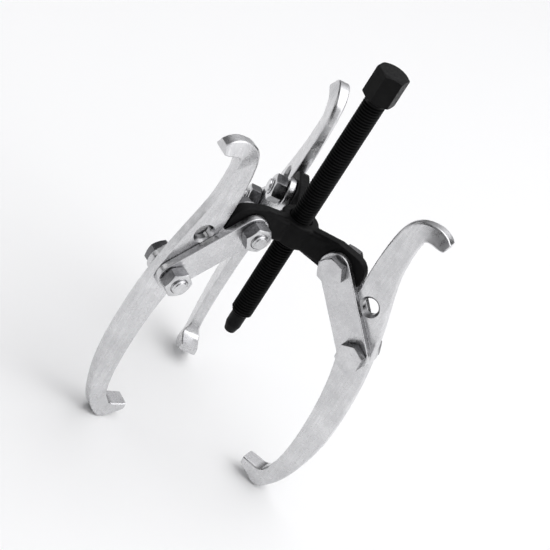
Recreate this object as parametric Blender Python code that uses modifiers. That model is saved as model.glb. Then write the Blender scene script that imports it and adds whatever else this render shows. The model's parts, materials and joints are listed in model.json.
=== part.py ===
"""Three-jaw reversible gear puller.

Frame: the origin is the centre of the pressure tip's end face, +Z runs up the
forcing screw to its hex head, and +X runs out along arm 1. The puller stands
on its three long hooks. Units are metres.

Each arm is drawn in its own plane. A point there is (out, up): the distance
out from the screw's axis or from a pivot, and the height. "Side" is the
direction across the arm, along the pivot bolts.
"""

import math

import bmesh
import bpy

MM = 0.001
GAP = 0.3 * MM                      # between pieces that lie against each other

# Forcing screw and its swivel tip
SCREW_DIAMETER = 14.0 * MM          # M14 x 2
TIP_TO_PIVOTS = 85.0 * MM           # tip's end to the plane of the yoke pivots
TIP_LENGTH = 15.0 * MM              # the part of the tip that shows
TIP_DIAMETER = 10.0 * MM
TIP_END_DIAMETER = 6.6 * MM
TIP_CONE_LENGTH = 5.5 * MM
STEM_DIAMETER = 6.4 * MM            # the tip's stem, inside the screw
STEM_LENGTH = 10.0 * MM
RING_HEIGHT = 5.0 * MM              # snap ring above the screw's end
RING_WIRE = 0.8 * MM
SCREW_CHAMFER = 1.6 * MM
HEAD_BOTTOM = 186.5 * MM
HEAD_TOP = 206.5 * MM
HEAD_FLATS = 19.0 * MM              # across flats

# Yoke, with heights from the plane of its pivots
PIVOT_RADIUS = 36.2 * MM            # screw axis to yoke pivot
PLATE = 7.0 * MM                    # yoke lugs, and the jaws at their pivots
HUB_RADIUS = 12.6 * MM
HUB_TOP = 9.0 * MM
HUB_BOTTOM = -7.5 * MM
LUG_START = (9.0 * MM, 8.5 * MM)    # the lug's top edge, inside the hub
LUG_CREST = (29.0 * MM, 13.0 * MM)  # the top edge has risen to its crest
LUG_BOTTOM = -8.0 * MM
LUG_END = 53.2 * MM                 # how far out the lug reaches
LUG_TOP_ROUND = 10.5 * MM           # radii of the lug's end
LUG_LOW_ROUND = 8.0 * MM
WEB_END = 25.0 * MM                 # the arms' thick roots end here
WEB_THICKNESS = 13.0 * MM
WEB_INSET = 1.0 * MM                # the roots stop short of the lugs' edges

# Links and their bolts
LINK_LENGTH = 54.0 * MM             # between bolt centres
LINK_WIDTH = 20.5 * MM
LINK_THICKNESS = 4.5 * MM
BOLT_DIAMETER = 10.0 * MM           # M10
BOLT_FLATS = 16.0 * MM
BOLT_HEAD = 6.4 * MM
NUT_HEIGHT = 8.0 * MM
THREAD_END = 2.2 * MM               # bolt end beyond its nut
HOLE_DIAMETER = BOLT_DIAMETER + 2 * GAP
BOLT_TURN = math.radians(12)        # how the hexagons happen to sit

# Jaws, with (out, up) measured from the link pivot
SPARE_HOLE = (-7.7 * MM, 30.8 * MM)
JAW_EDGE = 1.0 * MM                 # the forging's broken edges
GRIP_UP = -108.2                    # long hook's gripping face, mm
SHORT_GRIP_UP = 90.0                # short hook's gripping face, mm

# Each arm at rest, in degrees: its direction, how far its links point below
# level, how far the top of its jaw leans out.
ARMS = ((0, 44.4, -1.7), (120, 42.1, -2.0), (240, 47.2, 0.5))

# The jaw from the short hook's tip to the long hook's tip, in mm: a point on
# its screw side, the point across from it on its outer side, its thickness.
JAW_STATIONS = (
    ((12.4, 94.2), (12.0, 91.0), 10.6),
    ((9.6, 97.0), (9.4, SHORT_GRIP_UP), 11.6),
    ((4.6, 99.2), (4.4, SHORT_GRIP_UP), 12.0),
    ((-1.4, 99.0), (1.0, 89.3), 12.0),
    ((-7.4, 97.2), (-0.9, 87.0), 11.4),
    ((-12.6, 93.6), (-1.9, 83.4), 10.0),
    ((-15.9, 88.4), (-2.4, 79.4), 8.4),
    ((-17.6, 82.0), (-2.6, 75.0), 7.4),
    ((-18.7, 72.0), (-2.6, 67.5), 7.0),
    ((-19.2, 59.5), (-2.0, 57.5), 7.0),
    ((-19.2, 46.0), (0.2, 46.5), 7.0),
    ((-18.1, 31.0), (3.8, 32.5), 7.0),
    ((-15.4, 16.5), (7.4, 18.0), 7.0),
    ((-12.2, 2.5), (10.3, 3.0), 7.0),
    ((-9.2, -11.0), (12.6, -12.0), 7.0),
    ((-6.4, -24.5), (14.0, -27.0), 7.0),
    ((-4.4, -40.0), (14.6, -43.5), 7.0),
    ((-3.4, -57.5), (14.2, -60.0), 7.0),
    ((-3.4, -74.0), (12.4, -75.5), 7.0),
    ((-4.3, -87.0), (9.2, -90.0), 7.2),
    ((-5.9, -96.5), (5.0, -102.5), 8.2),
    ((-7.9, -103.0), (0.2, -111.6), 9.8),
    ((-10.2, -106.8), (-5.4, -117.6), 11.2),
    ((-13.2, GRIP_UP), (-11.2, -119.4), 12.0),
    ((-16.8, GRIP_UP), (-16.6, -117.2), 12.0),
    ((-20.8, GRIP_UP), (-20.9, -115.0), 12.0),
    ((-24.4, GRIP_UP), (-24.2, -113.2), 11.6),
)

ROUND_STEPS = 32                    # sides of a round piece or hole
ARC_STEPS = 12                      # sides of a half round
SMOOTH_ANGLE = math.radians(30)
WELD = 0.00001

BLACK = ("black_oxide", (0.012, 0.012, 0.013), 0.42, 0.6)
TIP_STEEL = ("hardened_steel", (0.03, 0.03, 0.032), 0.35, 0.8)
ZINC_JAW = ("zinc_plated_forging", (0.78, 0.79, 0.80), 0.30, 1.0)
ZINC_LINK = ("zinc_plated_strap", (0.80, 0.81, 0.82), 0.26, 1.0)
BOLT_STEEL = ("zinc_plated_bolt", (0.66, 0.67, 0.69), 0.33, 1.0)
SPRING_STEEL = ("spring_steel", (0.45, 0.45, 0.46), 0.35, 1.0)


def start():
    """Empty the scene; return the part's collection and one to work in."""
    for thing in list(bpy.data.objects):
        bpy.data.objects.remove(thing, do_unlink=True)
    made = []
    for name in ("gear_puller", "cutters"):
        collection = bpy.data.collections.new(name)
        bpy.context.scene.collection.children.link(collection)
        made.append(collection)
    return made


PARTS, CUTTERS = start()


def make_material(name, colour, roughness, metallic):
    material = bpy.data.materials.new(name)
    material.use_nodes = True
    shader = material.node_tree.nodes["Principled BSDF"]
    shader.inputs["Base Color"].default_value = (*colour, 1.0)
    shader.inputs["Roughness"].default_value = roughness
    shader.inputs["Metallic"].default_value = metallic
    return material


def work_piece(name, data):
    """An object in the cutters' collection, hidden from renders."""
    piece = bpy.data.objects.new(name, data)
    piece.hide_render = True
    piece.display_type = "WIRE"
    CUTTERS.objects.link(piece)
    return piece


def work_mesh(name, bm):
    mesh = bpy.data.meshes.new(name)
    bmesh.ops.recalc_face_normals(bm, faces=bm.faces)
    bm.to_mesh(mesh)
    bm.free()
    return work_piece(name, mesh)


def finished_mesh(name, piece, others=()):
    """The piece with its modifiers applied; it and the others are removed."""
    graph = bpy.context.evaluated_depsgraph_get()
    mesh = bpy.data.meshes.new_from_object(piece.evaluated_get(graph))
    mesh.name = name
    mesh.materials.clear()
    mesh.transform(piece.matrix_world)
    mesh.shade_smooth()
    mesh.set_sharp_from_angle(angle=SMOOTH_ANGLE)
    for used in (piece, *others):
        bpy.data.objects.remove(used)
    return mesh


def combine(piece, other, operation):
    modifier = piece.modifiers.new(other.name, "BOOLEAN")
    modifier.operation = operation
    modifier.solver = "EXACT"
    modifier.object = other


def prism(name, radius, low, high, steps=ROUND_STEPS, turn=0.0):
    """A cylinder or a prism along Z between two heights."""
    bm = bmesh.new()
    bmesh.ops.create_cone(bm, cap_ends=True, segments=steps, radius1=radius,
                          radius2=radius, depth=high - low)
    piece = work_mesh(name, bm)
    piece.location.z = (low + high) / 2
    piece.rotation_euler.z = turn
    return piece


def hexagon(name, flats, low, high, turn=0.0):
    return prism(name, flats / math.sqrt(3), low, high, 6, turn)


def side_hole(name, out, up, azimuth=0.0):
    """A bolt hole's cutter: it lies across an arm at (out, up)."""
    cutter = prism(name, HOLE_DIAMETER / 2, -SCREW_DIAMETER, SCREW_DIAMETER)
    cutter.rotation_euler = (math.pi / 2, 0, azimuth)
    cutter.location = (out * math.cos(azimuth), out * math.sin(azimuth), up)
    return cutter


def turned(name, profile):
    """Spin a profile of (radius, height) points, outer side top to bottom."""
    mesh = bpy.data.meshes.new(name)
    points = [(radius, 0, height) for radius, height in profile]
    mesh.from_pydata(points, [(i, i + 1) for i in range(len(points) - 1)], [])
    piece = work_piece(name, mesh)
    screw = piece.modifiers.new("Spin", "SCREW")
    screw.steps = ROUND_STEPS
    screw.render_steps = ROUND_STEPS
    screw.use_merge_vertices = True
    screw.merge_threshold = WELD
    return piece


def plate(name, outline, thickness):
    """A flat piece: (out, up) points filled, centred on the arm's plane."""
    curve = bpy.data.curves.new(name, "CURVE")
    curve.dimensions = "2D"
    curve.fill_mode = "BOTH"
    curve.extrude = thickness / 2
    spline = curve.splines.new("POLY")
    spline.points.add(len(outline) - 1)
    for point, (out, up) in zip(spline.points, outline):
        point.co = (out, up, 0, 1)
    spline.use_cyclic_u = True
    drawn = work_piece(name + "_outline", curve)
    drawn.rotation_euler.x = math.pi / 2
    bpy.context.view_layer.update()
    graph = bpy.context.evaluated_depsgraph_get()
    mesh = bpy.data.meshes.new_from_object(drawn.evaluated_get(graph))
    bm = bmesh.new()
    bm.from_mesh(mesh)
    bmesh.ops.remove_doubles(bm, verts=bm.verts, dist=WELD)
    piece = work_mesh(name, bm)
    piece.matrix_world = drawn.matrix_world.copy()
    bpy.data.objects.remove(drawn)
    return piece


def arc(centre, radius, start_angle, end_angle, steps=ARC_STEPS):
    points = []
    for i in range(steps + 1):
        angle = start_angle + (end_angle - start_angle) * i / steps
        points.append((centre[0] + radius * math.cos(angle), centre[1] + radius * math.sin(angle)))
    return points


def loft(name, stations, edge):
    """Join chamfered sections: each has two (out, up) ends and a thickness."""
    bm = bmesh.new()
    rings = []
    for near, far, thickness in stations:
        reach = math.dist(near, far)
        along = ((far[0] - near[0]) / reach, (far[1] - near[1]) / reach)
        half = thickness / 2
        corners = (
            (0, edge - half), (0, half - edge), (edge, half), (reach - edge, half),
            (reach, half - edge), (reach, edge - half), (reach - edge, -half), (edge, -half))
        rings.append([bm.verts.new((near[0] + along[0] * s, side, near[1] + along[1] * s))
                      for s, side in corners])
    for first, second in zip(rings, rings[1:]):
        for i in range(len(first)):
            j = (i + 1) % len(first)
            bm.faces.new((first[i], first[j], second[j], second[i]))
    bm.faces.new(rings[0])
    bm.faces.new(rings[-1])
    return work_mesh(name, bm)


def between(before, low, high, after):
    """Half way from low to high on a smooth curve through all four values."""
    return (9 * (low + high) - before - after) / 16


def refined(stations):
    """Put a station half way between each two, on smooth curves."""
    rows = [(*near, *far, thickness) for near, far, thickness in stations]
    fine = []
    for i in range(len(rows) - 1):
        before = rows[max(i - 1, 0)]
        after = rows[min(i + 2, len(rows) - 1)]
        fine.append(rows[i])
        fine.append([between(*values) for values in zip(before, rows[i], rows[i + 1], after)])
    fine.append(rows[-1])
    return [((a * MM, b * MM), (c * MM, d * MM), t * MM) for a, b, c, d, t in fine]


def forcing_screw_mesh():
    """Threaded rod with a hex head, bored from below for the tip's stem."""
    radius = SCREW_DIAMETER / 2
    end = TIP_LENGTH + GAP
    bore = STEM_DIAMETER / 2 + GAP
    groove = STEM_DIAMETER / 2 + RING_WIRE + GAP
    groove_half = RING_WIRE / 2 + GAP
    ring = TIP_LENGTH + RING_HEIGHT
    bore_top = TIP_LENGTH + STEM_LENGTH + GAP
    rod = turned("rod", [
        (0, HEAD_BOTTOM + radius), (radius, HEAD_BOTTOM + radius), (radius, end + SCREW_CHAMFER),
        (radius - SCREW_CHAMFER, end), (bore, end), (bore, ring - groove_half),
        (groove, ring - groove_half), (groove, ring + groove_half), (bore, ring + groove_half),
        (bore, bore_top), (0, bore_top)])
    head = hexagon("head", HEAD_FLATS, HEAD_BOTTOM, HEAD_TOP)
    combine(rod, head, "UNION")
    return finished_mesh("forcing_screw", rod, [head])


def pressure_tip_mesh():
    """Swivel tip: a blunt cone below, a grooved stem inside the screw."""
    radius = TIP_DIAMETER / 2
    stem = STEM_DIAMETER / 2
    groove = stem - GAP
    groove_half = RING_WIRE / 2 + GAP
    ring = TIP_LENGTH + RING_HEIGHT
    stem_top = TIP_LENGTH + STEM_LENGTH
    tip = turned("tip", [
        (0, stem_top), (stem, stem_top), (stem, ring + groove_half), (groove, ring + groove_half),
        (groove, ring - groove_half), (stem, ring - groove_half), (stem, TIP_LENGTH),
        (radius, TIP_LENGTH), (radius, TIP_CONE_LENGTH), (TIP_END_DIAMETER / 2, 0), (0, 0)])
    return finished_mesh("pressure_tip", tip)


def snap_ring_mesh():
    """An open ring of round wire that keeps the tip's stem in the screw."""
    radius = STEM_DIAMETER / 2 + RING_WIRE / 2
    curve = bpy.data.curves.new("wire", "CURVE")
    curve.dimensions = "3D"
    curve.bevel_depth = RING_WIRE / 2
    curve.bevel_resolution = 2
    curve.use_fill_caps = True
    points = arc((0, 0), radius, math.radians(20), math.radians(340), 2 * ARC_STEPS)
    spline = curve.splines.new("POLY")
    spline.points.add(len(points) - 1)
    for point, (x, y) in zip(spline.points, points):
        point.co = (x, y, 0, 1)
    wire = work_piece("wire", curve)
    graph = bpy.context.evaluated_depsgraph_get()
    bm = bmesh.new()
    bm.from_mesh(bpy.data.meshes.new_from_object(wire.evaluated_get(graph)))
    bmesh.ops.remove_doubles(bm, verts=bm.verts, dist=WELD)
    ring = work_mesh("ring", bm)
    bpy.data.objects.remove(wire)
    return finished_mesh("tip_snap_ring", ring)


def yoke_mesh(azimuths):
    """Hub with three thick-rooted lugs, each drilled for its bolt."""
    (start, start_top), (crest, top) = LUG_START, LUG_CREST
    quarter = math.pi / 2
    outline = [LUG_CREST, LUG_START, (start, LUG_BOTTOM)]
    outline += arc((LUG_END - LUG_LOW_ROUND, LUG_BOTTOM + LUG_LOW_ROUND), LUG_LOW_ROUND, -quarter, 0)
    outline += arc((LUG_END - LUG_TOP_ROUND, top - LUG_TOP_ROUND), LUG_TOP_ROUND, 0, quarter)
    low = LUG_BOTTOM + WEB_INSET
    rise = (top - start_top) / (crest - start)
    roots = []
    for out, thickness in ((start, WEB_THICKNESS), (HUB_RADIUS, WEB_THICKNESS), (WEB_END, PLATE - GAP)):
        high = start_top + rise * (out - start) - WEB_INSET
        roots.append(((out, high), (out, low), thickness))
    hub = prism("hub", HUB_RADIUS, HUB_BOTTOM, HUB_TOP)
    bore = prism("bore", SCREW_DIAMETER / 2 + GAP, 2 * HUB_BOTTOM, 2 * HUB_TOP)
    used = []
    for azimuth in azimuths:
        lug = plate("lug", outline, PLATE)
        lug.rotation_euler.z = azimuth
        root = loft("root", roots, JAW_EDGE)
        root.rotation_euler.z = azimuth
        used += [lug, root]
    for piece in used:
        combine(hub, piece, "UNION")
    holes = [side_hole("hole", PIVOT_RADIUS, 0, azimuth) for azimuth in azimuths]
    for hole in (bore, *holes):
        combine(hub, hole, "DIFFERENCE")
    bpy.context.view_layer.update()
    return finished_mesh("yoke", hub, [bore, *used, *holes])


def link_mesh():
    """A flat strap with round ends, a bolt hole in each."""
    radius = LINK_WIDTH / 2
    quarter = math.pi / 2
    outline = arc((LINK_LENGTH, 0), radius, -quarter, quarter)
    outline += arc((0, 0), radius, quarter, 3 * quarter)
    strap = plate("strap", outline, LINK_THICKNESS)
    holes = [side_hole("hole", out, 0) for out in (0, LINK_LENGTH)]
    for hole in holes:
        combine(strap, hole, "DIFFERENCE")
    bpy.context.view_layer.update()
    return finished_mesh("link", strap, holes)


def jaw_mesh():
    """The forging: a short hook above that faces out, a long one below."""
    jaw = loft("forging", refined(JAW_STATIONS), JAW_EDGE)
    holes = [side_hole("hole", 0, 0), side_hole("hole", *SPARE_HOLE)]
    for hole in holes:
        combine(jaw, hole, "DIFFERENCE")
    bpy.context.view_layer.update()
    return finished_mesh("jaw", jaw, holes)


def bolt_mesh():
    """A hex bolt along Z, head up, centred where it crosses the arm."""
    seat = PLATE / 2 + LINK_THICKNESS + 2 * GAP
    bolt = prism("shank", BOLT_DIAMETER / 2, -seat - NUT_HEIGHT - THREAD_END, seat + BOLT_HEAD / 2)
    head = hexagon("head", BOLT_FLATS, seat, seat + BOLT_HEAD, BOLT_TURN)
    combine(bolt, head, "UNION")
    bpy.context.view_layer.update()
    return finished_mesh("bolt", bolt, [head])


def nut_mesh():
    """The nut on the far side of the arm from its bolt's head."""
    seat = -(PLATE / 2 + LINK_THICKNESS + 2 * GAP)
    nut = hexagon("nut", BOLT_FLATS, seat - NUT_HEIGHT, seat, -BOLT_TURN)
    hole = prism("hole", HOLE_DIAMETER / 2, 2 * seat - NUT_HEIGHT, 0)
    combine(nut, hole, "DIFFERENCE")
    bpy.context.view_layer.update()
    return finished_mesh("nut", nut, [hole])


def place(name, mesh, material, parent=None, location=(0, 0, 0), rotation=(0, 0, 0)):
    """A finished piece of the puller, as a node of its own."""
    piece = bpy.data.objects.new(name, mesh)
    if not mesh.materials:
        mesh.materials.append(material)
    piece.parent = parent
    piece.location = location
    piece.rotation_euler = rotation
    PARTS.objects.link(piece)
    return piece


def pivot(name, parent=None, location=(0, 0, 0), turn=0.0):
    """An empty on a joint's axis."""
    empty = bpy.data.objects.new(name, None)
    empty.parent = parent
    empty.location = location
    empty.rotation_euler.z = turn
    PARTS.objects.link(empty)
    return empty


def build():
    black = make_material(*BLACK)
    tip_steel = make_material(*TIP_STEEL)
    zinc_jaw = make_material(*ZINC_JAW)
    zinc_link = make_material(*ZINC_LINK)
    bolt_steel = make_material(*BOLT_STEEL)

    azimuths = [math.radians(azimuth) for azimuth, droop, lean in ARMS]
    place("yoke", yoke_mesh(azimuths), black, location=(0, 0, TIP_TO_PIVOTS))
    place("forcing_screw", forcing_screw_mesh(), black)
    place("pressure_tip", pressure_tip_mesh(), tip_steel)
    place("tip_snap_ring", snap_ring_mesh(), make_material(*SPRING_STEEL),
          location=(0, 0, TIP_LENGTH + RING_HEIGHT))

    link, jaw, bolt, nut = link_mesh(), jaw_mesh(), bolt_mesh(), nut_mesh()
    side = PLATE / 2 + GAP + LINK_THICKNESS / 2
    across = (math.pi / 2, 0, 0)
    for number, (azimuth, droop, lean) in enumerate(ARMS, 1):
        droop, lean = math.radians(droop), math.radians(lean)
        arm = pivot(f"arm_{number}", turn=math.radians(azimuth))
        link_pivot = pivot(f"link_pivot_{number}", arm, (PIVOT_RADIUS, 0, TIP_TO_PIVOTS))
        jaw_pivot = pivot(f"jaw_pivot_{number}", link_pivot,
                          (LINK_LENGTH * math.cos(droop), 0, -LINK_LENGTH * math.sin(droop)))
        for letter, offset in (("a", -side), ("b", side)):
            place(f"link_{number}{letter}", link, zinc_link, link_pivot, (0, offset, 0), (0, droop, 0))
        place(f"jaw_{number}", jaw, zinc_jaw, jaw_pivot, rotation=(0, lean, 0))
        for end, joint in (("yoke", link_pivot), ("jaw", jaw_pivot)):
            place(f"{end}_bolt_{number}", bolt, bolt_steel, joint, rotation=across)
            place(f"{end}_nut_{number}", nut, bolt_steel, joint, rotation=across)


build()
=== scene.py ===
"""The looks of the gear puller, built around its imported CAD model.

Each piece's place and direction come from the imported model: its nodes' boxes,
its joints and its mounts. An arm's pieces are drawn in the arm's own plane,
where X points out from the screw, Z up, and Y across the arm along its bolts.
"""

import json
import math

import bmesh
import bpy
from mathutils import Matrix, Vector


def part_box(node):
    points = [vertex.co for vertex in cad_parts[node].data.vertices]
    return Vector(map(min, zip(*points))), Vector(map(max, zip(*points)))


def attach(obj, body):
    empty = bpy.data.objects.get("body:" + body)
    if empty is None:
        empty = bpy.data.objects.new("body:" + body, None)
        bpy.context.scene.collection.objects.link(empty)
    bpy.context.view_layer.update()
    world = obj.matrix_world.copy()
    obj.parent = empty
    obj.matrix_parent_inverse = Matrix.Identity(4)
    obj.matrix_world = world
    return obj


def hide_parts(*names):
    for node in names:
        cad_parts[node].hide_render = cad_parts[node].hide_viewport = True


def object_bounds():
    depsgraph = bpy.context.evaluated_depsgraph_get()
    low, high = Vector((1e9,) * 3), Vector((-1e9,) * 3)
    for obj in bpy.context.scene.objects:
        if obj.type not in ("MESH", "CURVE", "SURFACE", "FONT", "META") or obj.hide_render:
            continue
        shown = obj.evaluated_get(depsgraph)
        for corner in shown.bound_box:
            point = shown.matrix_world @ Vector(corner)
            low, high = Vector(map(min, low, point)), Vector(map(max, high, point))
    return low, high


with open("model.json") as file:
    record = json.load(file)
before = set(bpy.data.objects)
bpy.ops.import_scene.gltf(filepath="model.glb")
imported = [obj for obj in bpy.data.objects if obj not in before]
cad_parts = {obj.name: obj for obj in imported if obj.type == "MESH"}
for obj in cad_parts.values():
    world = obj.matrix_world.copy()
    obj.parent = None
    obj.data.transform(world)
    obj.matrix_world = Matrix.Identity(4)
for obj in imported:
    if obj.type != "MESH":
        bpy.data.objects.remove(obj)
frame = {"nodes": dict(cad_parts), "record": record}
CAD_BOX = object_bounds()

MM = 0.001
UP = Vector((0, 0, 1))
SHARP = math.radians(32)
WELD = 0.002 * MM                   # points closer than this become one
AXIS = WELD / 4                     # the radius of a ring that closes on its axis

JOINTS = {joint["name"]: joint for joint in frame["record"]["behaviour"]["joints"]}
MOUNTS = {mount["name"]: mount for mount in frame["record"]["mounts"]}
ARMS = (1, 2, 3)

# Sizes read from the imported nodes
PIVOT_HEIGHT = JOINTS["link_swing_1"]["pos_m"][2]
SCREW_LOW, SCREW_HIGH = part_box("forcing_screw")
TIP_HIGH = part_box("pressure_tip")[1]
RING_LOW, RING_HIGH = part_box("tip_snap_ring")
FLOOR = CAD_BOX[0].z

# Forcing screw
HEAD_FLATS = SCREW_HIGH.x - SCREW_LOW.x
SCREW_RADIUS = 7 * MM
SCREW_PITCH = 2 * MM
SCREW_CHAMFER = 1.5 * MM
HEAD_HEIGHT = 20 * MM
TIP_RADIUS = TIP_HIGH.x
TIP_SHOULDER = SCREW_LOW.z - 0.3 * MM
STEM_RADIUS = 3.2 * MM
GAP = 0.3 * MM

# Bolts and nuts: along an arm's Y axis the head is on the -Y side
BOLT_RADIUS = 5 * MM
BOLT_PITCH = 1.5 * MM
BOLT_FLATS = 16 * MM
BOLT_SEAT = 8.6 * MM
BOLT_HEAD = 6.4 * MM
NUT_HEIGHT = 8 * MM
BOLT_END = 18.8 * MM
BOLT_TURNS = {"yoke": math.radians(8), "jaw": math.radians(-12)}
NUT_TURNS = {"yoke": math.radians(21), "jaw": math.radians(4)}
CROWN = 0.47                        # radius of a hexagon's round face, as a share of its flats
HOLE_RADIUS = 5.3 * MM

# Links
LINK_WIDTH = 20.5 * MM
LINK_THICKNESS = 4.5 * MM
LINK_OFFSET = 6.05 * MM             # middle of a strap from the arm's plane
LINK_EDGE = 0.55 * MM

# Yoke, with heights from the pivots' plane
PIVOT_RADIUS = Vector(JOINTS["link_swing_1"]["pos_m"]).xy.length
PLATE = 7 * MM
HUB_RADIUS = 12.6 * MM
HUB_TOP = 9 * MM
HUB_BOTTOM = -7.5 * MM
HUB_EDGE = 1.4 * MM
LUG_START = (9 * MM, 8.5 * MM)
LUG_CREST = (29 * MM, 13 * MM)
LUG_BOTTOM = -8 * MM
LUG_END = 53.2 * MM
LUG_TOP_ROUND = 10.5 * MM
LUG_LOW_ROUND = 8 * MM
WEB_END = 26 * MM
WEB_THICKNESS = 13 * MM
YOKE_CUT = 20 * MM                  # how far the yoke's cutters reach

# Jaw: a point on its screw side, the point across from it on its outer side,
# and its thickness, in mm from the link pivot, from the short hook's tip to
# the long hook's tip.
SPARE_HOLE = (-7.7, 30.8)
HOLE_CHAMFER = 1.6 * MM
JAW_LEG = 7.0
JAW_HOOK = 12.0
JAW_EDGE = 1.0 * MM
HOOK_DRAFT = 2.3 * MM               # how much a short hook's top narrows at each side
HOOK_EDGE = 2.8 * MM                # radius of the top's edges at the hook's root
HOOK_FADE = (60.0, 92.0)            # heights between which the edges grow to that, mm
LIP_ROUND = 0.3 * MM                # how far a tip's end face stands out
JAW_STATIONS = (
    ((13.2, 96.4), (12.2, 90.4), 11.7),
    ((9.8, 98.9), (9.4, 89.9), 12.0),
    ((4.6, 100.4), (4.4, 90.0), 11.9),
    ((-1.4, 99.9), (1.0, 89.3), 11.4),
    ((-7.6, 97.8), (-0.9, 87.0), 10.5),
    ((-12.8, 93.8), (-1.9, 83.4), 9.0),
    ((-15.9, 88.4), (-2.4, 79.4), 7.4),
    ((-17.6, 82.0), (-2.6, 75.0), 7.0),
    ((-18.7, 72.0), (-2.6, 67.5), 7.0),
    ((-19.2, 59.5), (-2.0, 57.5), 7.0),
    ((-19.2, 46.0), (0.2, 46.5), 7.0),
    ((-18.1, 31.0), (3.8, 32.5), 7.0),
    ((-15.4, 16.5), (7.4, 18.0), 7.0),
    ((-12.2, 2.5), (10.3, 3.0), 7.0),
    ((-9.2, -11.0), (12.6, -12.0), 7.0),
    ((-6.4, -24.5), (13.85, -27.0), 7.0),
    ((-4.4, -40.0), (14.4, -43.5), 7.0),
    ((-3.4, -57.5), (14.05, -60.0), 7.0),
    ((-3.4, -74.0), (12.4, -75.5), 7.0),
    ((-4.3, -87.0), (9.2, -90.0), 7.0),
    ((-5.9, -96.5), (5.0, -102.5), 7.0),
    ((-7.9, -103.0), (0.2, -111.6), 7.6),
    ((-10.2, -106.8), (-5.4, -117.6), 11.7),
    ((-13.2, -108.2), (-11.2, -119.4), 12.0),
    ((-16.8, -108.2), (-16.6, -117.2), 12.0),
    ((-20.8, -108.2), (-20.9, -115.0), 12.0),
    ((-24.4, -108.2), (-24.2, -113.2), 11.4),
)

# The camera: where it stands, seen from the yoke's centre, and where it aims
VIEW_AZIMUTH = math.radians(-76.3)
VIEW_ELEVATION = math.radians(28.35)
VIEW_ROLL = math.radians(32.78)
VIEW_DISTANCE = 1.3844
VIEW_LENS = 150.1
AIM = Vector((8.7, -12.6, 58.6)) * MM


# ---------------------------------------------------------------- mesh tools

def finish_mesh(name, bm, sharp=SHARP):
    """Close up a bmesh: merge doubles, face outwards, shade smooth."""
    bmesh.ops.remove_doubles(bm, verts=bm.verts, dist=WELD)
    bmesh.ops.recalc_face_normals(bm, faces=bm.faces)
    mesh = bpy.data.meshes.new(name)
    bm.to_mesh(mesh)
    bm.free()
    mesh.shade_smooth()
    mesh.set_sharp_from_angle(angle=sharp)
    return mesh


def link_object(name, data):
    obj = bpy.data.objects.new(name, data)
    bpy.context.scene.collection.objects.link(obj)
    return obj


def applied(obj, name, helpers=(), sharp=SHARP):
    """The object's mesh with its modifiers applied; the objects are removed."""
    bpy.context.view_layer.update()
    graph = bpy.context.evaluated_depsgraph_get()
    mesh = bpy.data.meshes.new_from_object(obj.evaluated_get(graph))
    mesh.name = name
    mesh.shade_smooth()
    mesh.set_sharp_from_angle(angle=sharp)
    for used in (obj, *helpers):
        bpy.data.objects.remove(used)
    return mesh


def combine(obj, other, operation):
    modifier = obj.modifiers.new(other.name, "BOOLEAN")
    modifier.operation = operation
    modifier.solver = "EXACT"
    modifier.object = other


def bridge(bm, first, second):
    """Quads between two rows of vertices of equal length."""
    for i in range(len(first)):
        j = (i + 1) % len(first)
        bm.faces.new((first[i], first[j], second[j], second[i]))


def skin(bm, rings, closed=False):
    """Join rings of equal length with quads. The last joins the first, or
    both are capped."""
    rows = [[bm.verts.new(point) for point in ring] for ring in rings]
    for first, second in zip(rows, rows[1:]):
        bridge(bm, first, second)
    if closed:
        bridge(bm, rows[-1], rows[0])
    else:
        bm.faces.new(rows[0])
        bm.faces.new(rows[-1])


def circle(radius, height, steps):
    turn = 2 * math.pi / steps
    return [Vector((radius * math.cos(i * turn), radius * math.sin(i * turn), height))
            for i in range(steps)]


def arc(centre, radius, start, end, steps=14):
    points = []
    for i in range(steps + 1):
        angle = start + (end - start) * i / steps
        points.append((centre[0] + radius * math.cos(angle), centre[1] + radius * math.sin(angle)))
    return points


def turned_mesh(name, profile, steps=72):
    """Spin (radius, height) points about Z; the ends close on the axis."""
    bm = bmesh.new()
    skin(bm, [circle(max(radius, AXIS), height, steps) for radius, height in profile])
    return finish_mesh(name, bm)


def joined(name, meshes):
    """One mesh from several shells."""
    bm = bmesh.new()
    for mesh in meshes:
        bm.from_mesh(mesh)
        bpy.data.meshes.remove(mesh)
    mesh = bpy.data.meshes.new(name)
    bm.to_mesh(mesh)
    bm.free()
    return mesh


def mark(mesh, test):
    """Give the second material to the faces that pass a test."""
    for polygon in mesh.polygons:
        polygon.material_index = 1 if test(polygon) else 0
    return mesh


# ------------------------------------------------------------------- threads

THREAD_STEPS = 40


def thread_rows(bm, radius, pitch, low, high, chamfer):
    """Rows of vertices that climb one pitch a turn along a thread's profile,
    held between its ends. It gives the rows and how many make one thread."""
    root = radius - 0.6 * pitch
    profile = ((0.0, root), (0.2, root), (0.5, radius), (0.68, radius))
    turns = math.ceil((high - low) / pitch) + 3
    rows = []
    for i in range(turns * len(profile)):
        share, reach = profile[i % len(profile)]
        start = low - pitch + pitch * (i // len(profile) + share)
        row = []
        for j in range(THREAD_STEPS):
            height = min(max(start + pitch * j / THREAD_STEPS, low), high)
            size = min(reach, radius - chamfer + (height - low))
            if height >= high:
                size = root
            angle = 2 * math.pi * j / THREAD_STEPS
            row.append(bm.verts.new((size * math.cos(angle), size * math.sin(angle), height)))
        rows.append(row)
    return rows, len(profile)


def line_with_socket(bm, rim, inner):
    """Join a rod's open end to a socket of (radius, height) points."""
    rings = [[bm.verts.new(point) for point in circle(size, height, THREAD_STEPS)] for size, height in inner]
    for first, second in zip(rings, rings[1:]):
        bridge(bm, first, second)
    bm.faces.new(rings[-1])
    mouth = [bm.edges.get((rings[0][i], rings[0][(i + 1) % THREAD_STEPS])) for i in range(THREAD_STEPS)]
    bmesh.ops.bridge_loops(bm, edges=rim + mouth)


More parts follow.
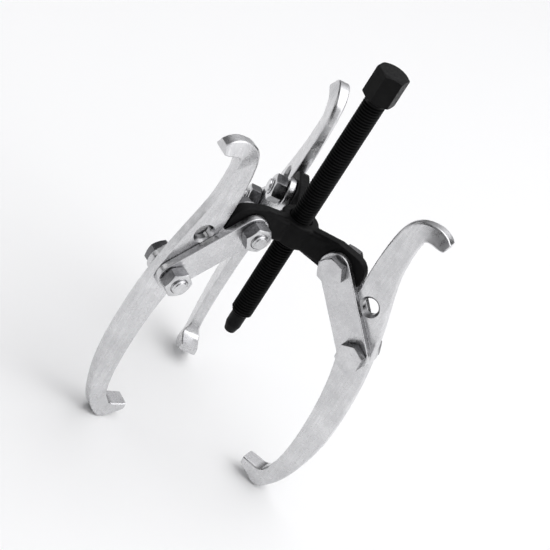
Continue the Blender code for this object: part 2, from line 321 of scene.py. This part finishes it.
def threaded_mesh(name, radius, pitch, low, high, chamfer, inner=()):
    """A rod along Z with a helical thread, chamfered at its low end. inner
    is a (radius, height) profile that runs into the rod from its low end."""
    bm = bmesh.new()
    rows, per_thread = thread_rows(bm, radius, pitch, low, high, chamfer)
    for i in range(len(rows) - 1):
        for j in range(THREAD_STEPS - 1):
            bm.faces.new((rows[i][j], rows[i][j + 1], rows[i + 1][j + 1], rows[i + 1][j]))
        k = i + per_thread
        if k + 1 < len(rows):
            bm.faces.new((rows[i][-1], rows[k][0], rows[k + 1][0], rows[i + 1][-1]))
    bmesh.ops.remove_doubles(bm, verts=bm.verts, dist=WELD)
    bmesh.ops.dissolve_degenerate(bm, edges=bm.edges, dist=WELD)
    middle = (low + high) / 2
    rims = [edge for edge in bm.edges if edge.is_boundary]
    low_rim = [edge for edge in rims if edge.verts[0].co.z < middle]
    high_rim = [edge for edge in rims if edge.verts[0].co.z > middle]
    bmesh.ops.edgeloop_fill(bm, edges=high_rim)
    if inner:
        line_with_socket(bm, low_rim, inner)
    else:
        bmesh.ops.edgeloop_fill(bm, edges=low_rim)
    return finish_mesh(name, bm)


def hexagon_outline(flats, corner):
    """A hexagon's outline with rounded corners, as flat vectors."""
    per_corner, per_side = 4, 8
    middle = (flats / 2 - corner) / math.cos(math.radians(30))
    arcs = []
    for k in range(6):
        angle = math.radians(60 * k + 30)
        centre = (middle * math.cos(angle), middle * math.sin(angle))
        arcs.append(arc(centre, corner, math.radians(60 * k), math.radians(60 * k + 60), per_corner))
    outline = []
    for k in range(6):
        outline += [Vector(point) for point in arcs[k]]
        start, end = Vector(arcs[k][-1]), Vector(arcs[(k + 1) % 6][0])
        outline += [start.lerp(end, i / per_side) for i in range(1, per_side)]
    return outline


def hexagon_mesh(name, flats, low, high, crown_low=False, bore=0.0, turn=0.0):
    """A hex head or nut along Z, its corners chamfered to a round crown."""
    outline = hexagon_outline(flats, 0.5 * MM)
    face = CROWN * flats
    slope = math.tan(math.radians(28))

    def ring(radius, height):
        return [Vector((*(point.normalized() * radius), height)) for point in outline]

    def rim(height, sign):
        return [Vector((point.x, point.y, height - sign * slope * (point.length - face)))
                for point in outline]

    top = rim(high, 1)
    bottom = rim(low, -1) if crown_low else [Vector((p.x, p.y, low)) for p in outline]
    rings = [ring(face, high), top, bottom, ring(face, low)]
    if bore:
        sink = 0.6 * MM
        rings += [ring(bore + sink, low), ring(bore, low + sink), ring(bore, high - sink),
                  ring(bore + sink, high)]
    bm = bmesh.new()
    skin(bm, rings, closed=bool(bore))
    bmesh.ops.rotate(bm, verts=bm.verts, matrix=Matrix.Rotation(turn, 3, "Z"))
    return finish_mesh(name, bm)


# -------------------------------------------------------------------- pieces

def forcing_screw_mesh():
    """Threaded rod, its swivel socket, and a tall hex head with a collar."""
    bore = STEM_RADIUS + GAP
    groove = RING_HIGH.y + GAP
    ring_low, ring_high = RING_LOW.z - GAP, RING_HIGH.z + GAP
    head_low = SCREW_HIGH.z - HEAD_HEIGHT
    socket = (
        (bore + GAP, SCREW_LOW.z), (bore, SCREW_LOW.z + GAP), (bore, ring_low),
        (groove, ring_low), (groove, ring_high), (bore, ring_high), (bore, TIP_HIGH.z + GAP))
    rod_high = head_low - 3 * MM
    rod = threaded_mesh("rod", SCREW_RADIUS, SCREW_PITCH, SCREW_LOW.z, rod_high, SCREW_CHAMFER, socket)
    neck = SCREW_RADIUS - 1.1 * MM
    collar = turned_mesh("collar", (
        (0, head_low + MM), (SCREW_RADIUS, head_low + MM), (SCREW_RADIUS, head_low - 0.6 * MM),
        (neck, head_low - 2.2 * MM), (neck, head_low - 3.6 * MM), (0, head_low - 3.6 * MM)))
    head = hexagon_mesh("head", HEAD_FLATS, head_low, SCREW_HIGH.z, crown_low=True)
    return joined("screw", [rod, collar, head])


def pressure_tip_mesh():
    """Swivel tip with a rounded shoulder; its grooved stem is in the screw."""
    soft = 0.5 * MM
    radius = TIP_RADIUS
    cone = 5.5 * MM
    end = 3.3 * MM
    groove = STEM_RADIUS - GAP
    profile = [
        (0, TIP_HIGH.z), (STEM_RADIUS, TIP_HIGH.z), (STEM_RADIUS, RING_HIGH.z + GAP),
        (groove, RING_HIGH.z + GAP), (groove, RING_LOW.z - GAP), (STEM_RADIUS, RING_LOW.z - GAP),
        (STEM_RADIUS, TIP_SHOULDER)]
    profile += reversed(arc((radius - soft, TIP_SHOULDER - soft), soft, 0, math.pi / 2, 5))
    profile += [(radius, cone + soft), (radius - 0.12 * MM, cone - 0.3 * MM), (end + 0.35 * MM, 0.5 * MM),
                (end + 0.1 * MM, 0.12 * MM), (end - 0.35 * MM, 0), (0, 0)]
    return turned_mesh("tip", profile)


def refined(stations, between):
    """Add stations on smooth curves through the given ones."""
    rows = [Vector((*near, *far)) for near, far, _ in stations]
    thick = [thickness for _, _, thickness in stations]
    fine = []
    for i in range(len(rows) - 1):
        a, d = max(i - 1, 0), min(i + 2, len(rows) - 1)
        for k in range(between):
            t = k / between
            weights = (
                (-t + 2 * t ** 2 - t ** 3) / 2, (2 - 5 * t ** 2 + 3 * t ** 3) / 2,
                (t + 4 * t ** 2 - 3 * t ** 3) / 2, (t ** 3 - t ** 2) / 2)
            picks = (a, i, i + 1, d)
            row = sum((rows[p] * w for p, w in zip(picks, weights)), Vector((0, 0, 0, 0)))
            flat = sum(thick[p] * w for p, w in zip(picks, weights))
            fine.append((row, min(flat, max(thick[i], thick[i + 1]))))
    fine.append((rows[-1], thick[-1]))
    return fine


def section(near, far, thickness, edge, draft=0.0, near_edge=0.0):
    """A rounded rectangle between two (out, up) points, across the arm. With
    a draft it narrows towards the near point, by that much at each side; its
    two corners there may have an edge radius of their own."""
    along = (far - near).normalized()
    reach, half = (far - near).length, thickness / 2
    edge = min(edge, 0.42 * reach, 0.42 * thickness)
    top = min(max(edge, near_edge), 0.5 * reach, 0.46 * (thickness - 2 * draft))
    quarter = math.pi / 2
    corners = (
        (reach - edge, half - edge, edge), (top, half - top - draft, top),
        (top, top - half + draft, top), (reach - edge, edge - half, edge))
    outline = []
    for k, (s, side, size) in enumerate(corners):
        outline += arc((s, side), size, quarter * k, quarter * (k + 1), 5)
    ring = []
    for s, side in outline:
        point = near + along * s
        ring.append(Vector((point.x, side, point.y)))
    return ring


def jaw_ring(row, thickness):
    """One of the jaw's sections. At the short hook its top narrows as the
    hook widens, and its edges are softest at the hook's root."""
    near = Vector((row[0], row[1])) * MM
    far = Vector((row[2], row[3])) * MM
    proud = (thickness - JAW_LEG) / (JAW_HOOK - JAW_LEG) if row[1] > 0 else 0
    proud = min(max(proud, 0), 1)
    fade_start, fade_end = HOOK_FADE
    nearing = min(max((row[1] - fade_start) / (fade_end - fade_start), 0), 1)
    soft = JAW_EDGE + nearing * (1 - proud) * (HOOK_EDGE - JAW_EDGE)
    return section(near, far, thickness * MM, JAW_EDGE, proud * HOOK_DRAFT, soft)


def lip(ring, inner):
    """A smaller ring just past an end ring, away from an inner one."""
    middle = sum(ring, Vector()) / len(ring)
    beyond = (middle - sum(inner, Vector()) / len(ring)).normalized()
    return [point.lerp(middle, 0.2) + beyond * LIP_ROUND for point in ring]


def jaw_drill(out, up):
    """A cutter along Y for a hole countersunk from both sides."""
    half = PLATE / 2
    flare = 3 * MM
    wide = HOLE_RADIUS + HOLE_CHAMFER
    profile = (
        (0, half + flare), (wide + flare, half + flare), (wide, half),
        (HOLE_RADIUS, half - HOLE_CHAMFER), (HOLE_RADIUS, HOLE_CHAMFER - half),
        (wide, -half), (wide + flare, -half - flare), (0, -half - flare))
    cutter = link_object("drill", turned_mesh("drill", profile, 64))
    cutter.rotation_euler.x = math.pi / 2
    cutter.location = (out * MM, 0, up * MM)
    return cutter


def jaw_mesh():
    """The drop-forged jaw, drilled for its bolt and for reversing it. The holes' faces get the second
    material, painted shade.
    """
    rings = [jaw_ring(row, thickness) for row, thickness in refined(JAW_STATIONS, 5)]
    rings.insert(0, lip(rings[0], rings[2]))
    rings.append(lip(rings[-1], rings[-3]))
    bm = bmesh.new()
    skin(bm, rings)
    jaw = link_object("jaw_work", finish_mesh("jaw_work", bm))
    holes = ((0, 0), SPARE_HOLE)
    cutters = []
    for out, up in holes:
        cutter = jaw_drill(out, up)
        combine(jaw, cutter, "DIFFERENCE")
        cutters.append(cutter)

    # Faces inside the holes and their countersinks. They take the darker material as painted shade.
    def shaded_hole_faces(face):
        flat = Vector((face.center.x, face.center.z))
        near = any((flat - Vector(place) * MM).length < HOLE_RADIUS + HOLE_CHAMFER for place in holes)
        return near and abs(face.normal.y) < 0.9

    return mark(applied(jaw, "jaw", cutters), shaded_hole_faces)


def strap_mesh(length):
    """A stamped strap with round ends, soft edges and two holes."""
    curve = bpy.data.curves.new("strap", "CURVE")
    curve.dimensions = "2D"
    curve.fill_mode = "BOTH"
    curve.extrude = LINK_THICKNESS / 2 - LINK_EDGE
    curve.bevel_depth = LINK_EDGE
    curve.bevel_resolution = 3
    curve.offset = -LINK_EDGE
    radius = LINK_WIDTH / 2
    quarter = math.pi / 2
    outline = arc((length, 0), radius, -quarter, quarter, 28) + arc((0, 0), radius, quarter, 3 * quarter, 28)
    loops = [outline]
    for out in (0, length):
        loops.append(arc((out, 0), HOLE_RADIUS, 2 * math.pi, 0, 40)[:-1])
    for loop in loops:
        spline = curve.splines.new("POLY")
        spline.points.add(len(loop) - 1)
        for point, (x, y) in zip(spline.points, loop):
            point.co = (x, y, 0, 1)
        spline.use_cyclic_u = True
    strap = link_object("strap_work", curve)
    mesh = applied(strap, "strap")
    bm = bmesh.new()
    bm.from_mesh(mesh)
    bmesh.ops.rotate(bm, verts=bm.verts, matrix=Matrix.Rotation(math.pi / 2, 3, "X"))
    return finish_mesh("strap", bm)


def along_bolt(mesh):
    """Turn a mesh drawn along Z so that its top faces -Y, and mark its flats for the second material, a
    darker plating that paints dark reflection on them.
    """
    mesh.transform(Matrix.Rotation(math.pi / 2, 4, "X"))
    reach = CROWN * BOLT_FLATS
    return mark(mesh, lambda face: face.center.xz.length > reach and abs(face.normal.y) < 0.5)


def bolt_mesh(turn):
    """Chamfered hex head on a washer face, shank, and threaded end."""
    head = hexagon_mesh("head", BOLT_FLATS, BOLT_SEAT + 0.35 * MM, BOLT_SEAT + BOLT_HEAD, turn=turn)
    dish = 0.5 * MM
    washer = turned_mesh("washer_face", (
        (0, BOLT_SEAT + MM), (7.6 * MM, BOLT_SEAT + MM), (7.6 * MM, BOLT_SEAT + 0.1 * MM),
        (7.4 * MM, BOLT_SEAT), (0, BOLT_SEAT)))
    plain = turned_mesh("shank", (
        (0, BOLT_SEAT + MM), (BOLT_RADIUS, BOLT_SEAT + MM), (BOLT_RADIUS, -BOLT_SEAT + dish),
        (BOLT_RADIUS - dish, -BOLT_SEAT), (0, -BOLT_SEAT)))
    thread = threaded_mesh("thread", BOLT_RADIUS, BOLT_PITCH, -BOLT_END, -BOLT_SEAT + 0.6 * MM, 1.1 * MM)
    return along_bolt(joined("bolt", [head, washer, plain, thread]))


def nut_mesh(turn):
    bore = BOLT_RADIUS + 0.12 * MM
    nut = hexagon_mesh("nut", BOLT_FLATS, -BOLT_SEAT - NUT_HEIGHT, -BOLT_SEAT, True, bore, turn)
    return along_bolt(nut)


def turned_about_screw(name, rings, azimuth):
    """A shell skinned over rings in an arm's plane, turned to its azimuth."""
    bm = bmesh.new()
    skin(bm, rings)
    bmesh.ops.rotate(bm, verts=bm.verts, matrix=Matrix.Rotation(azimuth, 3, "Z"))
    return finish_mesh(name, bm)


def lug_shell(azimuth):
    """A flat lug with a round end."""
    quarter = math.pi / 2
    top = LUG_CREST[1]
    outline = [(LUG_START[0], LUG_BOTTOM)]
    outline += arc((LUG_END - LUG_LOW_ROUND, LUG_BOTTOM + LUG_LOW_ROUND), LUG_LOW_ROUND, -quarter, 0)
    outline += arc((LUG_END - LUG_TOP_ROUND, top - LUG_TOP_ROUND), LUG_TOP_ROUND, 0, quarter)
    outline += [LUG_CREST, LUG_START]
    rings = [[Vector((out, side, up)) for out, up in outline] for side in (-PLATE / 2, PLATE / 2)]
    return turned_about_screw("plate", rings, azimuth)


def root_shell(azimuth):
    """The lug's thicker root, which thins out away from the hub."""
    (start, start_top), (crest, top) = LUG_START, LUG_CREST
    rise = (top - start_top) / (crest - start)
    inset = 1.2 * MM
    rings = []
    for out, thickness in ((start, WEB_THICKNESS), (HUB_RADIUS + MM, WEB_THICKNESS), (WEB_END, PLATE)):
        high = start_top + rise * (out - start) - inset
        rings.append(section(Vector((out, LUG_BOTTOM + inset)), Vector((out, high)), thickness, 2 * MM))
    return turned_about_screw("root", rings, azimuth)


def hub_shell():
    quarter = math.pi / 2
    hub = [(0, HUB_TOP)]
    hub += reversed(arc((HUB_RADIUS - HUB_EDGE, HUB_TOP - HUB_EDGE), HUB_EDGE, 0, quarter, 6))
    hub += reversed(arc((HUB_RADIUS - HUB_EDGE, HUB_BOTTOM + HUB_EDGE), HUB_EDGE, -quarter, 0, 6))
    hub.append((0, HUB_BOTTOM))
    return turned_mesh("hub", hub)


def screw_tap():
    """A cutter for the hub's bore, countersunk at both ends."""
    bore = SCREW_RADIUS + 0.1 * MM
    sink = 0.9 * MM
    tall = YOKE_CUT
    profile = (
        (0, tall), (bore + sink + tall - HUB_TOP, tall), (bore + sink, HUB_TOP),
        (bore, HUB_TOP - sink), (bore, HUB_BOTTOM + sink), (bore + sink, HUB_BOTTOM),
        (bore + sink + tall + HUB_BOTTOM, -tall), (0, -tall))
    return link_object("tap", turned_mesh("tap", profile, 96))


def pivot_drill(azimuth):
    """A cutter for the hole of one lug's pivot bolt."""
    half = YOKE_CUT / 2
    profile = ((0, half), (HOLE_RADIUS, half), (HOLE_RADIUS, -half), (0, -half))
    drill = link_object("drill", turned_mesh("drill", profile, 64))
    drill.rotation_euler = (math.pi / 2, 0, azimuth)
    drill.location = (PIVOT_RADIUS * math.cos(azimuth), PIVOT_RADIUS * math.sin(azimuth), 0)
    return drill


def yoke_mesh(azimuths):
    """The forged yoke: hub and thick-rooted lugs run together, then drilled."""
    shells = []
    for azimuth in azimuths:
        shells += [lug_shell(azimuth), root_shell(azimuth)]
    shells.append(hub_shell())
    yoke = link_object("yoke_work", joined("yoke_work", shells))
    remesh = yoke.modifiers.new("Forge", "REMESH")
    remesh.mode = "VOXEL"
    remesh.voxel_size = 0.5 * MM
    smooth = yoke.modifiers.new("Soften", "SMOOTH")
    smooth.factor = 0.5
    smooth.iterations = 10
    yoke = link_object("yoke_drilled", applied(yoke, "yoke_forged", sharp=math.pi))
    cutters = [screw_tap()]
    cutters += [pivot_drill(azimuth) for azimuth in azimuths]
    for cutter in cutters:
        combine(yoke, cutter, "DIFFERENCE")
    return applied(yoke, "yoke", cutters, math.radians(38))


# ----------------------------------------------------------------- materials

# A Mix node's colour sockets
MIX_FIRST, MIX_SECOND, MIX_RESULT = 6, 7, 2


class Nodes:
    """Builds a material's node tree with short calls."""

    def __init__(self, name):
        self.material = bpy.data.materials.new(name)
        self.material.use_nodes = True
        self.tree = self.material.node_tree
        self.shader = self.tree.nodes["Principled BSDF"]

    def put(self, target, value):
        """Link a socket, or set a number or an opaque colour."""
        if isinstance(value, bpy.types.NodeSocket):
            self.tree.links.new(value, target)
        elif isinstance(value, tuple):
            target.default_value = (*value, 1)
        else:
            target.default_value = value

    def coordinates(self, scale=(1, 1, 1)):
        """The piece's own coordinates, stretched."""
        place = self.tree.nodes.new("ShaderNodeTexCoord").outputs["Object"]
        mapping = self.tree.nodes.new("ShaderNodeMapping")
        self.put(mapping.inputs["Vector"], place)
        mapping.inputs["Scale"].default_value = scale
        return mapping.outputs[0]

    def noise(self, scale, detail=4.0, rough=0.55, stretch=(1, 1, 1)):
        node = self.tree.nodes.new("ShaderNodeTexNoise")
        for name, amount in (("Vector", self.coordinates(stretch)), ("Scale", scale),
                             ("Detail", detail), ("Roughness", rough)):
            self.put(node.inputs[name], amount)
        return node.outputs[0]

    def spread(self, value, low, high, start=0.0, end=1.0):
        """Map a noise value from start..end to low..high."""
        node = self.tree.nodes.new("ShaderNodeMapRange")
        for name, amount in (("Value", value), ("From Min", start), ("From Max", end),
                             ("To Min", low), ("To Max", high)):
            self.put(node.inputs[name], amount)
        return node.outputs[0]

    def blend(self, share, first, second):
        node = self.tree.nodes.new("ShaderNodeMix")
        node.data_type = "RGBA"
        self.put(node.inputs["Factor"], share)
        self.put(node.inputs[MIX_FIRST], first)
        self.put(node.inputs[MIX_SECOND], second)
        return node.outputs[MIX_RESULT]

    def bump(self, height, distance, strength=1.0, normal=None):
        node = self.tree.nodes.new("ShaderNodeBump")
        self.put(node.inputs["Height"], height)
        node.inputs["Distance"].default_value = distance
        node.inputs["Strength"].default_value = strength
        if normal is not None:
            self.put(node.inputs["Normal"], normal)
        return node.outputs[0]

    def finish(self, colour, roughness, metallic, normal, **others):
        values = {"Base Color": colour, "Roughness": roughness, "Metallic": metallic, "Normal": normal}
        values.update({key.replace("_", " "): value for key, value in others.items()})
        for name, value in values.items():
            self.put(self.shader.inputs[name], value)
        return self.material


def plated(name, dark, bright, rough, grain, stretch):
    """Bright plating: cloudy colour, drawn-out polishing marks, fine grain."""
    n = Nodes(name)
    cloud = n.spread(n.noise(70.0, 5.0, 0.6), 0, 1, 0.3, 0.7)
    marks = n.noise(900.0, 3.0, 0.5, stretch)
    colour = n.blend(cloud, dark, bright)
    colour = n.blend(n.spread(marks, 0.0, 0.35, 0.42, 0.62), colour, tuple(0.9 * c for c in dark))
    roughness = n.spread(n.noise(260.0, 4.0, 0.6), rough - 0.07, rough + 0.09, 0.3, 0.7)
    normal = n.bump(marks, 0.03 * MM, 0.5)
    normal = n.bump(n.noise(2600.0, 2.0), 0.02 * MM, grain, normal)
    normal = n.bump(n.noise(110.0, 2.0), 0.25 * MM, 0.6, normal)
    return n.finish(colour, roughness, 1.0, normal)


def black_forging(name):
    """Satin black over a forged skin, cloudy and uneven in gloss."""
    n = Nodes(name)
    cloud = n.noise(120.0, 6.0, 0.65)
    colour = n.blend(n.spread(cloud, 0, 1, 0.35, 0.75), (0.002, 0.002, 0.0022), (0.007, 0.007, 0.0073))
    roughness = n.spread(n.noise(500.0, 4.0), 0.42, 0.62, 0.3, 0.7)
    normal = n.bump(n.noise(900.0, 5.0, 0.6), 0.06 * MM, 0.7)
    normal = n.bump(n.noise(160.0, 3.0), 0.3 * MM, 0.5, normal)
    return n.finish(colour, roughness, 0.0, normal, Specular_IOR_Level=0.10)


def black_oxide(name, pale):
    """Black oxide on machined steel, in clouds from black to a pale shade."""
    n = Nodes(name)
    cloud = n.spread(n.noise(180.0, 5.0), 0, 1, 0.35, 0.75)
    colour = n.blend(cloud, (0.002, 0.002, 0.0022), (pale, pale, pale * 1.03))
    roughness = n.spread(n.noise(700.0, 3.0), 0.34, 0.55, 0.3, 0.7)
    normal = n.bump(n.noise(1400.0, 4.0), 0.03 * MM, 0.6)
    return n.finish(colour, roughness, 0.0, normal, Specular_IOR_Level=0.10)


def floor_material():
    n = Nodes("pale_floor")
    colour = n.blend(n.noise(3.0, 3.0), (0.94, 0.94, 0.94), (0.96, 0.96, 0.96))
    return n.finish(colour, 0.75, 0.0, n.bump(n.noise(90.0, 3.0), 0.05 * MM, 0.3), Specular_IOR_Level=0.1)


# ------------------------------------------------------------------ assembly

def basis(origin, out, side, up):
    """A placing matrix from an origin and three axes."""
    matrix = Matrix((out, side, up)).transposed().to_4x4()
    matrix.translation = origin
    return matrix


def show(name, mesh, materials, body, replaced, matrix=None):
    """A finished piece, placed in its vertices as the CAD nodes are, painted,
    and riding on its CAD body."""
    mesh = mesh.copy()
    mesh.transform(matrix or Matrix())
    for material in materials:
        mesh.materials.append(material)
    piece = link_object(name, mesh)
    normals = piece.modifiers.new("Normals", "WEIGHTED_NORMAL")
    normals.keep_sharp = True
    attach(piece, body)
    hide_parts(replaced)
    return piece


def arm_steels():
    """The plated finishes of forging, strap and bolt, and darker plating as painted dark reflection on the
    bolts' flats and painted shade in the jaws' drilled holes.
    """
    even = (1, 1, 1)
    lengthwise = (1, 1, 0.06)
    return {
        "jaw": plated("plated_forging", (0.58, 0.58, 0.59), (0.74, 0.74, 0.75), 0.27, 0.45, lengthwise),
        "link": plated("plated_strap", (0.56, 0.56, 0.57), (0.68, 0.68, 0.69), 0.27, 0.3, even),
        "bolt": plated("plated_bolt", (0.50, 0.50, 0.51), (0.72, 0.72, 0.73), 0.20, 0.2, even),
        # Darker plating for the flats: painted dark reflection on the hexagons' sides.
        "flats": plated("flats_painted_reflection", (0.10, 0.10, 0.105), (0.34, 0.34, 0.35), 0.20, 0.2, even),
        # Darker plating for the holes: painted shade inside the jaw's holes.
        "hole": plated("hole_painted_shade", (0.22, 0.22, 0.225), (0.46, 0.46, 0.47), 0.20, 0.2, even),
    }


def build_arms():
    steel = arm_steels()
    jaw = jaw_mesh()
    bolts = {end: bolt_mesh(turn) for end, turn in BOLT_TURNS.items()}
    nuts = {end: nut_mesh(turn) for end, turn in NUT_TURNS.items()}
    strap = None
    for n in ARMS:
        yoke_pivot = Vector(JOINTS[f"link_swing_{n}"]["pos_m"])
        jaw_pivot = Vector(JOINTS[f"jaw_swing_{n}"]["pos_m"])
        out = Vector((yoke_pivot.x, yoke_pivot.y, 0)).normalized()
        side = UP.cross(out)
        along = (jaw_pivot - yoke_pivot).normalized()
        across = along.cross(side)
        jaw_up = Vector(MOUNTS[f"long_hook_grip_{n}"]["axis"]).normalized()
        if strap is None:
            strap = strap_mesh((jaw_pivot - yoke_pivot).length)
        body = f"links_{n}"
        # The jaw's second material paints shade in its holes.
        show(f"jaw_{n}_forging", jaw, (steel["jaw"], steel["hole"]), f"jaw_{n}", f"jaw_{n}",
             basis(jaw_pivot, side.cross(jaw_up), side, jaw_up))
        for letter, offset in (("a", -LINK_OFFSET), ("b", LINK_OFFSET)):
            place = basis(yoke_pivot + side * offset, along, side, across)
            show(f"link_{n}{letter}_strap", strap, (steel["link"],), body, f"link_{n}{letter}",
                 place)
        # The second material paints dark reflection on the flats of bolts and nuts.
        finish = (steel["bolt"], steel["flats"])
        for end, pivot in (("yoke", yoke_pivot), ("jaw", jaw_pivot)):
            place = basis(pivot, along, side, across)
            show(f"{end}_bolt_{n}_hex", bolts[end], finish, body, f"{end}_bolt_{n}", place)
            show(f"{end}_nut_{n}_hex", nuts[end], finish, body, f"{end}_nut_{n}", place)


def build_centre():
    azimuths = []
    for n in ARMS:
        place = JOINTS[f"link_swing_{n}"]["pos_m"]
        azimuths.append(math.atan2(place[1], place[0]))
    show("yoke_forging", yoke_mesh(azimuths), (black_forging("black_forging"),), "yoke", "yoke",
         Matrix.Translation((0, 0, PIVOT_HEIGHT)))
    thread_black = black_oxide("black_oxide_thread", 0.006)
    show("forcing_screw_threaded", forcing_screw_mesh(), (thread_black,), "screw",
         "forcing_screw")
    tip_black = black_oxide("blackened_tip", 0.009)
    show("pressure_tip_swivel", pressure_tip_mesh(), (tip_black,), "tip", "pressure_tip")
    wire = plated("spring_wire", (0.35, 0.35, 0.36), (0.5, 0.5, 0.5), 0.35, 0.3, (1, 1, 1))
    ring = frame["nodes"]["tip_snap_ring"]
    ring.data.materials.clear()
    ring.data.materials.append(wire)


# --------------------------------------------------------------------- stage

def area_light(name, place, target, size, radiance):
    """A softbox whose face shines at a radiance; a white floor is near 1."""
    data = bpy.data.lights.new(name, "AREA")
    data.shape = "RECTANGLE"
    data.size, data.size_y = size
    data.energy = radiance * math.pi * size[0] * size[1]
    light = link_object(name, data)
    light.location = place
    light.rotation_euler = (Vector(target) - Vector(place)).to_track_quat("-Z", "Y").to_euler()


def build_stage():
    reach = 6.0
    bm = bmesh.new()
    bmesh.ops.create_grid(bm, x_segments=8, y_segments=8, size=reach)
    floor = link_object("floor", finish_mesh("floor", bm))
    floor.location.z = FLOOR
    floor.data.materials.append(floor_material())
    centre = (0, 0, 0.05)
    area_light("top_softbox", (0.65, 0.35, 1.6), centre, (2.6, 2.2), 1.22)
    area_light("right_softbox", (1.9, 0.2, 0.5), centre, (1.2, 0.8), 0.78)
    area_light("left_softbox", (-1.6, -0.6, 0.7), centre, (0.9, 0.8), 1.0)


def build_world():
    """A pale studio: bright above and to the right, dark in front and to the
    left, with a dark screen low behind the puller."""
    world = bpy.data.worlds.new("studio")
    bpy.context.scene.world = world
    world.use_nodes = True
    tree = world.node_tree
    place = tree.nodes.new("ShaderNodeTexCoord").outputs["Generated"]

    def toward(direction, low, high):
        """0 to 1 as the view turns towards a direction."""
        dot = tree.nodes.new("ShaderNodeVectorMath")
        dot.operation = "DOT_PRODUCT"
        dot.inputs[1].default_value = Vector(direction).normalized()
        tree.links.new(place, dot.inputs[0])
        share = tree.nodes.new("ShaderNodeMapRange")
        share.inputs["From Min"].default_value = low
        share.inputs["From Max"].default_value = high
        tree.links.new(dot.outputs["Value"], share.inputs["Value"])
        return share.outputs[0]

    ramp = tree.nodes.new("ShaderNodeValToRGB")
    tree.links.new(toward((0.7, 0.3, 0.65), -1, 1), ramp.inputs[0])
    stops = ((0.30, 0.03), (0.55, 0.25), (0.75, 0.8), (0.95, 1.0))
    while len(ramp.color_ramp.elements) < len(stops):
        ramp.color_ramp.elements.new(0.5)
    for element, (position, shade) in zip(ramp.color_ramp.elements, stops):
        element.position = position
        element.color = (shade, shade, 1.02 * shade, 1)
    screen = tree.nodes.new("ShaderNodeMix")
    screen.data_type = "RGBA"
    tree.links.new(toward((0.52, 0.85, 0.05), 0.84, 0.95), screen.inputs["Factor"])
    tree.links.new(ramp.outputs[0], screen.inputs[MIX_FIRST])
    screen.inputs[MIX_SECOND].default_value = (0.03, 0.03, 0.03, 1)
    tree.links.new(screen.outputs[MIX_RESULT], tree.nodes["Background"].inputs["Color"])


def build_camera():
    level = Vector((math.cos(VIEW_AZIMUTH), math.sin(VIEW_AZIMUTH), 0))
    toward = level * math.cos(VIEW_ELEVATION) + UP * math.sin(VIEW_ELEVATION)
    place = Vector((0, 0, PIVOT_HEIGHT)) + toward * VIEW_DISTANCE
    right = UP.cross(toward).normalized()
    upright = toward.cross(right)
    rolled = upright * math.cos(VIEW_ROLL) - right * math.sin(VIEW_ROLL)
    back = (place - AIM).normalized()
    across = rolled.cross(back).normalized()
    data = bpy.data.cameras.new("camera")
    data.lens = VIEW_LENS
    data.sensor_width = 36
    data.clip_end = 50
    camera = link_object("camera", data)
    camera.matrix_world = basis(place, across, back.cross(across), back)
    bpy.context.scene.camera = camera


build_centre()
build_arms()
build_stage()
build_world()
build_camera()
bpy.context.scene.view_settings.view_transform = "Standard"
